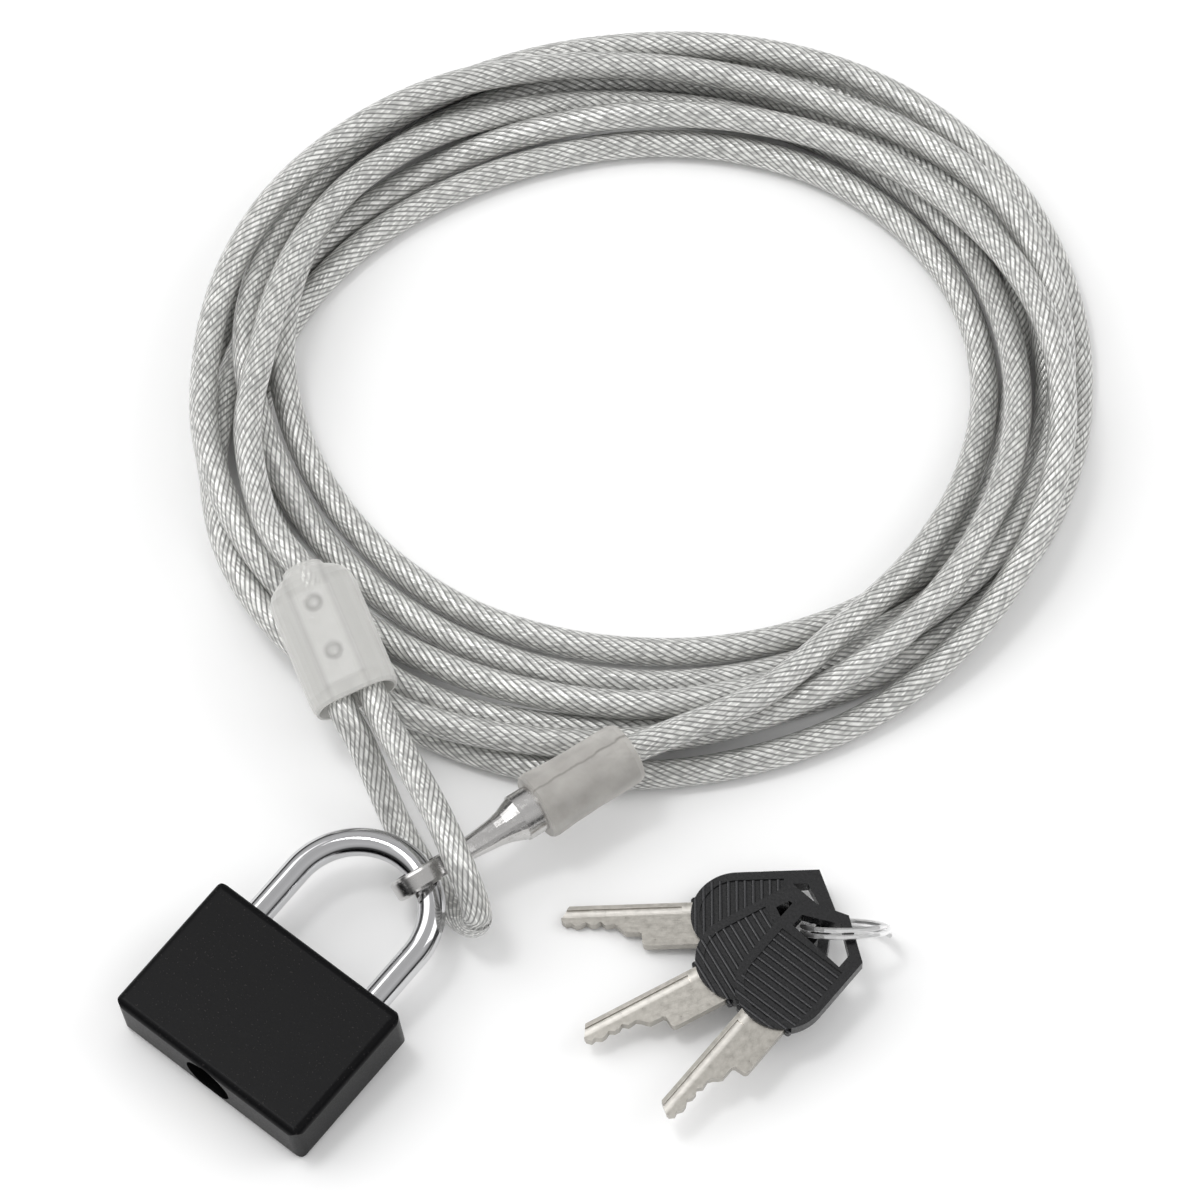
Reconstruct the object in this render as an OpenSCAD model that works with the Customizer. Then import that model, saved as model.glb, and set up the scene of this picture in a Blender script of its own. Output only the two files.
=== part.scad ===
// Cable lock for a laptop or a bag: a small padlock, three metres of coated wire
// rope coiled on the table, and three keys on a split ring. The rope's far end is
// crimped into a flat eye. Its near end is folded into a loop, the eye is drawn
// through the loop as a noose, and the padlock's shackle passes through the eye.
// Millimetres, +Z up, Z = 0 is the table. X runs across the padlock, Y along it.

/* [Padlock] */
// Width of the padlock body
body_w = 40; // [38:0.5:50]
// Height of the padlock body, from keyway face to shackle face
body_h = 27.5; // [27:0.5:36]
// Thickness of the padlock body
body_t = 11; // [10.5:0.5:14]
// Radius on the body's long edges
edge_r = 1.4; // [0.5:0.1:1.6]
// How far the shackle end of the body is raised by the cable under it, degrees
body_tilt = 6.5; // [6:0.5:9]

/* [Shackle] */
// Diameter of the shackle rod
rod_d = 4.8; // [4:0.1:5.2]
// Distance between the centres of the two legs
leg_gap = 25.6; // [24:0.2:28]
// Straight length of each leg that shows above the body
leg_show = 10.5; // [9:0.5:14]

/* [Cable] */
// Diameter of the cable over its clear jacket
cable_d = 5; // [4:0.25:5.5]
// Width of the coil, across the middle of its turns
coil_w = 142; // [130:1:170]
// Depth of the coil, across the middle of its turns
coil_h = 129; // [120:1:160]

/* [Fittings] */
// Length of the sleeve over the loop's ferrule
loop_sleeve_l = 26; // [24:0.5:30]
// Width of the eye plate
eye_w = 11; // [10.5:0.25:11.5]
// Thickness of the eye plate
eye_t = 3.6; // [3:0.1:4]
// Diameter of the hole in the eye
eye_bore = 8.2; // [7.8:0.1:8.4]

/* [Keys] */
// Length of a key's plastic head
head_l = 24.6; // [22:0.1:26]
// Width of a key's plastic head
head_w = 15.7; // [14:0.1:17]
// Thickness of a key's plastic head
head_t = 2.6; // [2.4:0.1:2.6]
// Outer diameter of the split ring
ring_d = 15.6; // [15:0.2:17]

/* [Hidden] */
$fn = 48;
fine = 96;
slack = 0.05;
eps = 0.01;

// Colours
black_lacquer = [0.03, 0.03, 0.035];
black_plastic = [0.05, 0.05, 0.055];
chrome_steel = [0.78, 0.79, 0.8];
plain_steel = [0.6, 0.61, 0.62];
brass_yellow = [0.72, 0.58, 0.3];
nickel_silver = [0.62, 0.59, 0.53];
clear_jacket = [0.72, 0.73, 0.72];
frosted = [0.86, 0.87, 0.86];

// Padlock: its own frame has X across, Y from the keyway face, Z from the back
lock_left = [-31.5, -46.8, edge_r * (1 - sin(body_tilt) - cos(body_tilt))];
rod_r = rod_d / 2;
leg_x = leg_gap / 2;
mid_z = body_t / 2;
arch_y = body_h + leg_show;
heel_end = 7.5;
toe_end = body_h - 8;
bore_r = rod_r + slack;

// Lock cylinder: it is drawn as it stands with the key turned to release
plug_r = 4.5;
plug_front = 3.5;
plug_back = 16.9;
bore_back = 17.1;
cam_turn = 60;
cam_throw = 2.2;
cam_r = 0.6;
cam_room_r = 3.6;
latch_y = body_h - 6.9;
latch_h = 3.2;
latch_z = 2.8;
latch_tall = 5.4;
latch_tip = -leg_x + rod_r + 1.2;
latch_tail = 2.6;
latch_room = 0.15;
window_x = latch_tip - cam_throw - latch_room;
latch_spring_end = 7.6;
notch_deep = 1.15;
pin_r = 0.9;
pin_hole_r = 0.95;
pin_first = 5.8;
pin_step = 2.3;
pin_count = 4;
driver_in = plug_r + 0.25;
driver_out = 8;
chamber_out = 14.4;
cap_t = 1.2;
stop_r = 0.7;
keyway_w = 1.8;
keyway_low = 2.6;
keyway_high = 3;
keyway_deep = 14.4;
pin_foot = 2.1;
pin_cut = 0.3;
stop_y = 20;
plug_stop_y = 15;
heel_travel = 10;
spring_at = 2.8;
groove_r = rod_r - 1;

// Cable
cable_r = cable_d / 2;
jacket_r = 0.92 * cable_r;
unit = cable_d / 5;
coil_at = [-42.5, 103.7, 0];
coil_turn = 39.5;
pitch = 1.08 * cable_d;
per_turn = 24;

// The coil's passes, laid by hand: how far out of the mean oval each one runs,
// every 30 degrees from the loop's sleeve round past the far side, in mm
lanes = [
    [5, -3.8, -4.6, -2, -2.5, -3, -3.5, -4.5, -1.5, 4.5, 8, 13.5],
    [11, 1.5, -3.5, -6, -8, -5, -2.5, 2, 5.8, 9.5, 12, 11.5],
    [7.8, 5.2, 6.3, 7.5, 8, 7.5, 3.5, -4.5, -6, -9, -11.5, -12],
    [-11.5, -7.6, -3, 2, 3, 2, 0.5, 1, -0.5, -3.5, -5, -6],
    [-5.5, -1.8, 1.5, 4, 6, 8.5, 8, 4.9, 4, 2.5, 2.5, 5.5],
    [7.5, 5, 4, 2, 1, 0, 1.5, 1.6, 1.5, 0.5, 2.5, 1],
    [1, -3, -8, -11, -10, -8.5, -8.5, -9.2, -8.4, -2, 12.5]
];
// How high each pass is laid over a strand on the table, at the same places
rises = [
    [13, 12.3, 10.5, 4, 0, 0, 0, 5, 8, 6.5, 2.5, 5],
    [6, 3.8, 0, 0, 4.5, 4.5, 8, 10.5, 5.5, 0, 0, 0],
    [0, 0, 0, 0, 0, 0, 0, 0, 0, 0, 0, 0],
    [0, 3.5, 5.5, 0, 0, 0, 5.5, 0, 0, 0, 0, 0],
    [0, 7.8, 5, 4.5, 5, 5, 3, 0, 0, 0, 0, 0],
    [9, 7.2, 8.2, 9, 5, 5, 8, 5.3, 4, 4, 4.5, 1],
    [0, 0, 0, 0, 0, 0, 0, 0, 4, 9, 10.5]
];

// The folded loop's route, from one side of the ferrule to the other
loop_route = [
    [-31.5, 14.8, 12.2], [-27.1, 13.1, 9], [-22.7, 11.3, 5.8], [-18.5, 9.6, 3.4],
    [-14, 7.8, 2.5], [-9.5, 6.2, 2.5], [-5, 4.8, 2.5], [-1.3, 3.6, 3],
    [2.3, 2.6, 5.1], [4.7, 2, 8.4], [5.3, 2, 12], [4.1, 2.5, 15.4],
    [1.5, 3.6, 18.1], [-2.1, 5.4, 19.5], [-6.1, 7.6, 19.7], [-10.3, 9.8, 19.1],
    [-14.7, 12, 18.2], [-19.5, 14.3, 17.2], [-24.5, 16.6, 16.3], [-29.3, 18.8, 15.7]
];

// Sleeve and ferrule over the folded end
sleeve_mouth = [-35.6, 19.1, 15.4];
sleeve_yaw = 151.5;
sleeve_rise = 6;
sleeve_roll = -15;
sleeve_wide = 15.6;
sleeve_thick = 8.6;
sleeve_wall = 0.9;
dimple_x = [5, 14.5];
dimple_r = 2.2;
dimple_deep = 0.6;
ferrule_wide = sleeve_wide - 3;
ferrule_thick = sleeve_thick - 2.4;
mouth_deep = 3.5;
back_deep = 5;
strand_gap = 5.6;
// Its outside: [x, half width, half thickness, power], mouth to collar
sleeve_form = [
    [0, 7.3, 3.9, 0.75], [0.6, 7.6, 4.15, 0.75], [2.5, sleeve_wide / 2, sleeve_thick / 2, 0.75],
    [loop_sleeve_l - 6, sleeve_wide / 2, sleeve_thick / 2 - 0.05, 0.75],
    [loop_sleeve_l - 4.2, 7.55, 4.15, 0.75], [loop_sleeve_l - 2.9, 6.9, 3.95, 0.8],
    [loop_sleeve_l - 1.8, 5.6, 3.65, 0.85], [loop_sleeve_l - 1.1, 4.3, 3.45, 0.95],
    [loop_sleeve_l - 0.6, 3.8, 3.35, 1], [loop_sleeve_l, 3.6, 3.3, 1]
];

// Eye on the far end
eye_arch_angle = 68;
eye_yaw = 73;
eye_rise = 3;
eye_roll = -64;
tube_at = 19;
tube_r = 4.2;
// Its forged neck: [x, half width, half thickness, power of the section's corners]
neck = [
    [2.6, eye_w / 2 - 1, eye_t / 2 - 0.1, 0.6], [4.6, 4.2, 1.72, 0.6], [6.8, 3.75, 1.78, 0.6],
    [9.4, 3.4, 2, 0.65], [12, 3.2, 2.25, 0.7], [14.4, 3.15, 2.5, 0.8], [16.2, 3.3, 2.9, 0.9],
    [17.8, 3.7, 3.55, 1], [tube_at, 4.05, 4, 1], [tube_at + 0.6, tube_r - 0.05, tube_r - 0.05, 1]
];
tube_end = 36;
eye_sleeve_at = 22.6;
eye_sleeve_l = 19;
eye_sleeve_r = 6;

// Keys: the middle of each head's ring slot from the ring's centre, and how each lies
from_ring = [[-7.5, -0.6, -3], [-5.4, -4.4, 0.05], [-0.7, -4.5, 3.2]];
key_yaw = [219.5, 247.8, 270];
key_tilt = [4.2, 4, 4];
key_roll = [0, 0, -3];
slot_back = 4.9;
slot_front = [2.4, 3.4];
slot_w = 10.6;
slot_corner = 3.55;
end_wall = 2.05;
end_lean = 2.8;
apex_y = 0.8;
corner_l = 5.2;
head_end = head_l - slot_back;
round_r = head_w / 2;
rim_w = 1.5;
rim_deep = 0.3;
rib_first = 4.9;
rib_step = 1.4;
rib_count = 10;
rib_w = 0.6;
rib_low = 0.1;
nub_r = 0.6;
nub_y = [-3.1, 5.6];
blade_t = 1.6;
tang_l = 3.5;
mill_from = 1.5;
mill_y = [-2, -1.3];
mill_w = [1.4, 1.1];
mill_deep = 0.35;

// Half round a blade, from the back of its tang: the straight edge, the tip, the cuts
// and the shoulder that stops at the keyway's face; X is measured from the head's end
blade_low = -2.7;
blade_high = 5.2;
blade_line = [
    [-tang_l, blade_low], [20.5, blade_low], [21.9, -0.5], [21.8, -0.1], [21.1, 0.6],
    [20.3, 0.4], [19.4, 1], [18.6, 0.9], [17.7, 0.4], [16.9, 0.9], [16, 0.9],
    [15.2, 0.4], [14.4, 1.1], [13.6, 1], [12.9, 0.9], [12.2, 1.4], [11.6, 2.1], [11, 2.6],
    [8.6, 2.6], [8.3, 2.9], [8.2, 4.6], [8, 5], [7.6, blade_high], [-tang_l, blade_high]
];
ring_at = [52.9, 41.1, 6.9];
ring_wire = 0.9;
ring_lean = 54;
ring_turn = 39.5;
ring_turns = 1.9;
key_at = [for (p = from_ring) ring_at + p];

// ---------- helpers ----------

// The padlock's own frame, tilted on its lower back edge
module in_lock() {
    translate(lock_left + [body_w / 2, 0, 0]) rotate([body_tilt, 0, 0]) children();
}

// A point of the padlock's own frame, on the table
function lock_point(p) = lock_left + [body_w / 2 + p[0],
    p[1] * cos(body_tilt) - p[2] * sin(body_tilt),
    p[1] * sin(body_tilt) + p[2] * cos(body_tilt)];

// Plate with its upright edges rounded
module soft_slab(w, d, h, r) {
    translate([r, 0, 0]) cube([w - 2 * r, d, h]);
    translate([0, r, 0]) cube([w, d - 2 * r, h]);
    for (x = [r, w - r])
        for (y = [r, d - r])
            translate([x, y, 0]) cylinder(h = h, r = r);
}

// Bar of an oval section, its length along X
module oval_bar(l, w, t) {
    translate([0, -(w - t) / 2, -t / 2]) cube([l, w - t, t]);
    for (y = [-(w - t) / 2, (w - t) / 2])
        translate([0, y, 0]) rotate([0, 90, 0]) cylinder(h = l, r = t / 2);
}

function unit_of(v) = v / max(norm(v), 1e-6);

// Smooth curve through a list's values at place t
function curve_at(a, t) =
    let(i = max(min(floor(t), len(a) - 2), 0), f = t - i,
        p0 = a[max(i - 1, 0)], p1 = a[i], p2 = a[i + 1], p3 = a[min(i + 2, len(a) - 1)])
    0.5 * (2 * p1 + (p2 - p0) * f + (2 * p0 - 5 * p1 + 4 * p2 - p3) * f * f
        + (3 * p1 - p0 - 3 * p2 + p3) * f * f * f);

// A closed tube swept along points, its rings square to the way it runs
module tube(points, r, sides) {
    n = len(points);
    rings = [for (i = [0:n - 1])
        let(way = unit_of(points[min(i + 1, n - 1)] - points[max(i - 1, 0)]),
            side = unit_of(cross(way, [0, 0, 1])), up = cross(side, way))
        for (k = [0:sides - 1])
            points[i] + r * (cos(360 * (k + 0.5) / sides) * side + sin(360 * (k + 0.5) / sides) * up)];
    walls = [for (i = [0:n - 2]) for (k = [0:sides - 1])
        let(a = i * sides + k, b = i * sides + (k + 1) % sides)
        each [[a, a + sides, b], [b, a + sides, b + sides]]];
    first = [for (k = [1:sides - 2]) [0, k, k + 1]];
    base = (n - 1) * sides;
    last = [for (k = [1:sides - 2]) [base, base + k + 1, base + k]];
    polyhedron(points = rings, faces = concat(walls, first, last));
}

// Helical spring along +Z with its ends on flat coils
function helix(r, h, curls, steps) =
    [for (i = [0:curls * steps])
        let(t = i / (curls * steps), a = 360 * curls * t)
        [r * cos(a), r * sin(a), h * t]];

module spring(outer_r, wire_r, h, curls) {
    translate([0, 0, wire_r])
        tube(helix(outer_r - wire_r, h - 2 * wire_r, curls, 8), wire_r, 6);
}

function flat(rows) = [for (row = rows) for (v = row) v];

// Solid through rings of points that all have the same count
module through(rings) {
    n = len(rings[0]);
    m = len(rings);
    walls = [for (i = [0:m - 2]) for (k = [0:n - 1])
        let(a = i * n + k, b = i * n + (k + 1) % n)
        each [[a, a + n, b], [b, a + n, b + n]]];
    first = [for (k = [1:n - 2]) [0, k, k + 1]];
    last = [for (k = [1:n - 2]) [(m - 1) * n, (m - 1) * n + k + 1, (m - 1) * n + k]];
    polyhedron(points = flat(rings), faces = concat(walls, first, last));
}

// A rounded section's point, squarer as the power falls
function bent(v, power) = sign(v) * pow(abs(v), power);

// One ring of a form, from [x, half width, half thickness, power]
function oval_ring(row) = [for (k = [0:31])
    let(a = 11.25 * k)
    [row[0], row[1] * bent(cos(a), row[3]), row[2] * bent(sin(a), row[3])]];

// ---------- cable ----------

lane_list = flat(lanes);
rise_list = flat(rises);
stations = (len(lane_list) - 1) * 2 + 1;

// The passes as laid: distance out of the oval and height, every 15 degrees
laid = [for (i = [0:stations - 1])
    [curve_at(lane_list, i / 2), max(curve_at(rise_list, i / 2), 0) + 2.5] * unit];

// How a pass is pushed by the pass that crosses or lies beside it at place j
function push(p, i, j) = j < 0 || j >= len(p) ? [0, 0] :
    let(d = p[i] - p[j], gap = max(norm(d), 0.01))
    d / gap * max(pitch - gap, 0) * 0.45;

function shift(p, i) = i < 0 || i >= len(p) ? [0, 0] : p[i] - laid[i];

// The passes settle: each is pushed off its neighbours until all lie a pitch apart
settle_steps = 120;
function settled(p, step) = step >= settle_steps ? p : settled([
    for (i = [0:len(p) - 1])
        let(pushes = [for (k = [-6:6]) if (k != 0) push(p, i, i + k * per_turn)],
            ease = i == 0 || i == len(p) - 1 ? 0 : 0.5 * max(0, 1 - step / (settle_steps * 0.7)),
            bend = (shift(p, i - 1) + shift(p, i + 1)) / 2 - shift(p, i),
            moved = p[i] + [for (k = pushes) 1] * pushes + ease * bend)
        [moved[0], max(moved[1], cable_r)]], step + 1);

// A settled station as a point on the table
function on_table(q, angle) =
    let(out = unit_of([-cos(angle) * coil_h, sin(angle) * coil_w]),
        u = -coil_w / 2 * cos(angle) + q[0] * out[0],
        v = coil_h / 2 * sin(angle) + q[0] * out[1])
    coil_at + [u * cos(coil_turn) - v * sin(coil_turn),
        u * sin(coil_turn) + v * cos(coil_turn), q[1]];

function coil_points() = let(p = settled(laid, 0))
    [for (i = [0:len(p) - 1]) on_table(p[i], -30 + 15 * i)];

function along_sleeve(p) =
    let(y1 = p[1] * cos(sleeve_roll) - p[2] * sin(sleeve_roll),
        z1 = p[1] * sin(sleeve_roll) + p[2] * cos(sleeve_roll),
        x2 = p[0] * cos(sleeve_rise) - z1 * sin(sleeve_rise),
        z2 = p[0] * sin(sleeve_rise) + z1 * cos(sleeve_rise))
    sleeve_mouth + [x2 * cos(sleeve_yaw) - y1 * sin(sleeve_yaw),
        x2 * sin(sleeve_yaw) + y1 * cos(sleeve_yaw), z2];

module on_sleeve() {
    translate(sleeve_mouth) rotate([0, 0, sleeve_yaw]) rotate([0, -sleeve_rise, 0])
        rotate([sleeve_roll, 0, 0]) children();
}

eye_at = lock_point([leg_x * cos(eye_arch_angle), arch_y + leg_x * sin(eye_arch_angle), mid_z]);
function along_eye(x) = eye_at + x * [cos(eye_rise) * cos(eye_yaw),
    cos(eye_rise) * sin(eye_yaw), sin(eye_rise)];

module on_eye() {
    translate(eye_at) rotate([0, 0, eye_yaw]) rotate([0, -eye_rise, 0])
        rotate([eye_roll, 0, 0]) children();
}

ferrule_back = loop_sleeve_l - back_deep;

// The coil from the loop's ferrule round to the eye's crimp
function coil_route() = concat(
    [along_sleeve([ferrule_back, 0, 0]), along_sleeve([ferrule_back + cable_d, 0, 0])],
    coil_points(),
    [along_eye(tube_end + cable_d), along_eye(tube_end)]);

// Least distance between parts of a route more than 60 mm apart along it
function least_gap(p) = min([for (i = [0:len(p) - 1]) for (j = [i + 5:1:len(p) - 1])
    norm(p[i] - p[j])]);

module cable_coil() {
    route = coil_route();
    echo("least gap of the coil to itself", least_gap(route) - 2 * jacket_r);
    color(clear_jacket) tube(route, jacket_r, 6);
}

function loop_ends() = concat(
    [along_sleeve([mouth_deep, strand_gap / 2, 0]),
        along_sleeve([mouth_deep - cable_d, strand_gap / 2, 0])],
    loop_route,
    [along_sleeve([mouth_deep - cable_d, -strand_gap / 2, 0]),
        along_sleeve([mouth_deep, -strand_gap / 2, 0])]);

module cable_loop() {
    ends = loop_ends();
    n = len(ends);
    route = concat([ends[0]],
        [for (i = [2:2 * (n - 1) - 2]) curve_at(ends, i / 2)],
        [ends[n - 1]]);
    color(clear_jacket) tube(route, jacket_r, 8);
}

module loop_ferrule() {
    color(plain_steel) on_sleeve() translate([mouth_deep, 0, 0])
        difference() {
            oval_bar(ferrule_back - mouth_deep, ferrule_wide, ferrule_thick);
            for (x = dimple_x)
                translate([x, 0, ferrule_thick / 2 + dimple_r - dimple_deep]) sphere(r = dimple_r);
        }
}

module loop_sleeve() {
    inner_w = sleeve_wide - 2 * sleeve_wall;
    inner_t = sleeve_thick - 2 * sleeve_wall;
    color(frosted) on_sleeve()
        difference() {
            through([for (row = sleeve_form) oval_ring(row)]);
            translate([-eps, 0, 0]) oval_bar(ferrule_back + eps, inner_w, inner_t);
            translate([ferrule_back - 1, 0, 0]) rotate([0, 90, 0])
                cylinder(h = back_deep + 2, r = cable_r + slack);
        }
}

module eye_terminal() {
    color(chrome_steel) on_eye()
        difference() {
            union() {
                rotate_extrude($fn = fine)
                    polygon([[0, -eye_t / 2], [eye_w / 2 - 0.6, -eye_t / 2],
                        [eye_w / 2 - 0.2, 0.2 - eye_t / 2], [eye_w / 2, 0.6 - eye_t / 2],
                        [eye_w / 2, eye_t / 2 - 0.6], [eye_w / 2 - 0.2, eye_t / 2 - 0.2],
                        [eye_w / 2 - 0.6, eye_t / 2], [0, eye_t / 2]]);
                through([for (row = neck) oval_ring(row)]);
                translate([tube_at, 0, 0]) rotate([0, 90, 0])
                    cylinder(h = tube_end - tube_at, r = tube_r);
            }
            translate([0, 0, -eye_t]) cylinder(h = 2 * eye_t, r = eye_bore / 2, $fn = fine);
        }
}

module eye_sleeve() {
    color(frosted) on_eye() translate([eye_sleeve_at, 0, 0])
        difference() {
            rotate([0, 90, 0]) rotate_extrude()
                polygon([[0, 0], [eye_sleeve_r - 0.4, 0], [eye_sleeve_r - 0.1, 0.4],
                    [eye_sleeve_r, 1.2], [eye_sleeve_r - 0.3, 5], [eye_sleeve_r - 0.45, 9.5],
                    [eye_sleeve_r - 0.4, eye_sleeve_l - 3.5], [eye_sleeve_r - 0.5, eye_sleeve_l - 1.2],
                    [eye_sleeve_r - 0.9, eye_sleeve_l - 0.3], [eye_sleeve_r - 1.6, eye_sleeve_l],
                    [0, eye_sleeve_l]]);
            translate([-eps, 0, 0]) rotate([0, 90, 0])
                cylinder(h = tube_end - eye_sleeve_at + eps, r = tube_r + slack);
            rotate([0, 90, 0]) cylinder(h = eye_sleeve_l + 1, r = cable_r + slack);
        }
}

// ---------- padlock ----------

module body_blank() {
    intersection() {
        translate([-body_w / 2, 0, 0]) soft_slab(body_w, body_h, body_t, 1.4 * edge_r);
        translate([-body_w / 2, body_h, 0]) rotate([90, 0, 0])
            soft_slab(body_w, body_t, body_h, edge_r);
        translate([-body_w / 2, 0, 0]) rotate([90, 0, 90])
            soft_slab(body_h, body_t, body_w, edge_r);
    }
}

module along_y(y0, y1, r) {
    translate([0, y0, mid_z]) rotate([-90, 0, 0]) cylinder(h = y1 - y0, r = r);
}

module lock_body() {
    color(black_lacquer) in_lock()
        difference() {
            body_blank();
            along_y(-1, bore_back, plug_r + slack);
            along_y(bore_back - eps, latch_y + 0.1, cam_room_r);
            translate([leg_x, 0, 0]) along_y(spring_at, body_h + 1, bore_r);
            translate([-leg_x, 0, 0]) along_y(toe_end - 0.4, body_h + 1, bore_r);
            translate([window_x, latch_y - latch_room, latch_z - latch_room])
                cube([latch_spring_end - window_x, latch_h + 2 * latch_room,
                    latch_tall + 2 * latch_room]);
            for (i = [0:pin_count - 1])
                translate([-chamber_out, pin_first + i * pin_step, mid_z])
                    rotate([0, 90, 0]) cylinder(h = chamber_out - plug_r + 0.5, r = pin_hole_r);
            translate([leg_x - rod_r + 0.1, stop_y, 1]) cylinder(h = body_t - 2, r = stop_r);
            translate([plug_r + 0.25, plug_stop_y, 1]) cylinder(h = body_t - 2, r = stop_r);
        }
}

module shackle() {
    color(chrome_steel) in_lock()
        difference() {
            union() {
                translate([leg_x, 0, 0]) along_y(heel_end, arch_y, rod_r);
                translate([-leg_x, 0, 0]) along_y(toe_end, arch_y, rod_r);
                translate([0, arch_y, mid_z])
                    rotate_extrude(angle = 180, $fn = fine)
                        translate([leg_x, 0]) circle(r = rod_r, $fn = 32);
            }
            translate([leg_x, 0, 0])
                difference() {
                    along_y(stop_y - heel_travel - stop_r - 0.2, stop_y + stop_r + 0.2, rod_r + 1);
                    along_y(heel_end, arch_y, groove_r);
                }
            translate([-leg_x + rod_r - notch_deep, latch_y - 0.25, 0])
                cube([rod_r, latch_h + 0.5, body_t]);
        }
}

module heel_stop_pin() {
    color(plain_steel) in_lock()
        translate([leg_x - rod_r + 0.1, stop_y, 1]) cylinder(h = body_t - 2, r = stop_r);
}

module heel_spring() {
    color(plain_steel) in_lock()
        translate([leg_x, spring_at, mid_z]) rotate([-90, 0, 0])
            spring(rod_r - 0.15, 0.35, heel_end - spring_at - 0.1, 3);
}

module latch_bolt() {
    pin_x = cam_throw * sin(cam_turn / 2);
    color(brass_yellow) in_lock()
        difference() {
            translate([latch_tip, latch_y, latch_z])
                cube([latch_tail - latch_tip, latch_h, latch_tall]);
            translate([pin_x - cam_r - 0.1, latch_y - 1, mid_z + 0.8])
                cube([2 * cam_r + 0.2, latch_h + 2, body_t]);
        }
}

module latch_spring() {
    color(plain_steel) in_lock()
        translate([latch_tail, latch_y + latch_h / 2, mid_z]) rotate([0, 90, 0])
            spring(1.5, 0.25, latch_spring_end - latch_tail, 4);
}

// What turns with the key: the cam pin is drawn thrown towards the latch spring, and
// the keyway as it stands after the same turn from the chambers' line
module thrown() {
    translate([0, 0, mid_z]) rotate([0, cam_turn / 2, 0]) children();
}

module released() {
    translate([0, 0, mid_z]) rotate([0, cam_turn - 90, 0]) children();
}

module cylinder_plug() {
    color(brass_yellow) in_lock()
        difference() {
            union() {
                along_y(plug_front, plug_back, plug_r);
                thrown() translate([0, plug_back - 1, cam_throw]) rotate([-90, 0, 0])
                    cylinder(h = latch_y + latch_h - plug_back + 0.6, r = cam_r);
            }
            released() translate([-keyway_w / 2, 1, -keyway_low])
                cube([keyway_w, keyway_deep, keyway_low + keyway_high]);
            released() for (i = [0:pin_count - 1])
                translate([0, pin_first + i * pin_step, 0]) cylinder(h = plug_r + 1, r = pin_hole_r);
            difference() {
                along_y(plug_stop_y - stop_r - 0.1, plug_stop_y + stop_r + 0.1, plug_r + 1);
                along_y(1, plug_back + 1, plug_r - 0.6);
            }
        }
}

module plug_stop_pin() {
    color(plain_steel) in_lock()
        translate([plug_r + 0.25, plug_stop_y, 1]) cylinder(h = body_t - 2, r = stop_r);
}

module key_pins() {
    color(brass_yellow) in_lock() released()
        for (i = [0:pin_count - 1])
            let(foot = pin_foot + pin_cut * (i % 2))
            translate([0, pin_first + i * pin_step, foot])
                cylinder(h = plug_r - 0.15 - foot, r = pin_r);
}

module driver_pins() {
    color(brass_yellow) in_lock()
        for (i = [0:pin_count - 1])
            translate([-driver_out, pin_first + i * pin_step, mid_z])
                rotate([0, 90, 0]) cylinder(h = driver_out - driver_in, r = pin_r);
}

module pin_springs() {
    color(plain_steel) in_lock()
        for (i = [0:pin_count - 1])
            translate([-driver_out, pin_first + i * pin_step, mid_z]) rotate([0, -90, 0])
                spring(pin_r - 0.05, 0.15, chamber_out - cap_t - driver_out, 4);
}

module chamber_caps() {
    color(brass_yellow) in_lock()
        for (i = [0:pin_count - 1])
            translate([-chamber_out, pin_first + i * pin_step, mid_z])
                rotate([0, 90, 0]) cylinder(h = cap_t, r = pin_hole_r);
}

// ---------- keys ----------

module on_key(i) {
    translate(key_at[i]) rotate([key_roll[i], key_tilt[i], key_yaw[i]]) children();
}

// The flat blade with the tang that sits in the head
module blade_flat() {
    translate([head_end, 0, -blade_t / 2]) linear_extrude(blade_t) polygon(blade_line);
}

module key_blade(i) {
    color(nickel_silver) on_key(i)
        difference() {
            blade_flat();
            translate([head_end + mill_from, mill_y[0], blade_t / 2 - mill_deep])
                cube([head_l, mill_w[0], blade_t]);
            translate([head_end + mill_from, mill_y[1], mill_deep - 1.5 * blade_t])
                cube([head_l, mill_w[1], blade_t]);
        }
}

// Outline of a head: a lifted end with one corner cut off, round towards the blade
module head_outline() {
    polygon([[end_lean - slot_back, -round_r], [-slot_back, apex_y],
        [corner_l - slot_back, round_r], [head_end - round_r, round_r],
        [head_end - round_r, -round_r]]);
    translate([head_end - round_r, 0]) circle(r = round_r, $fn = fine);
}

module ring_slot() {
    back = end_wall - slot_back;
    polygon([[back + end_lean, -slot_w / 2], [back, apex_y], [back + slot_corner, slot_w / 2],
        [slot_front[1], slot_w / 2], [slot_front[0], -slot_w / 2]]);
}

// The sunk field between the rims
module grip_field() {
    translate([rib_first - 1, rim_w - round_r])
        square([head_end - round_r - rib_first + 1, head_w - 2 * rim_w]);
    translate([head_end - round_r, 0]) circle(r = round_r - rim_w, $fn = fine);
}

module key_head(i) {
    color(black_plastic) on_key(i)
        difference() {
            union() {
                difference() {
                    translate([0, 0, -head_t / 2]) linear_extrude(head_t) head_outline();
                    for (z = [head_t / 2 - rim_deep, -head_t / 2 - 1 + rim_deep])
                        translate([0, 0, z]) linear_extrude(1) grip_field();
                }
                for (y = nub_y)
                    translate([head_end - round_r + sqrt(round_r * round_r - y * y), y, -head_t / 4])
                        cylinder(h = head_t / 2, r = nub_r);
                translate([0, 0, rib_low - head_t / 2]) linear_extrude(head_t - 2 * rib_low)
                    intersection() {
                        grip_field();
                        for (k = [0:rib_count - 1])
                            translate([rib_first + rib_step * k - rib_w / 2, -round_r])
                                square([rib_w, head_w]);
                    }
            }
            translate([0, 0, -head_t]) linear_extrude(2 * head_t) ring_slot();
            blade_flat();
        }
}

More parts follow.
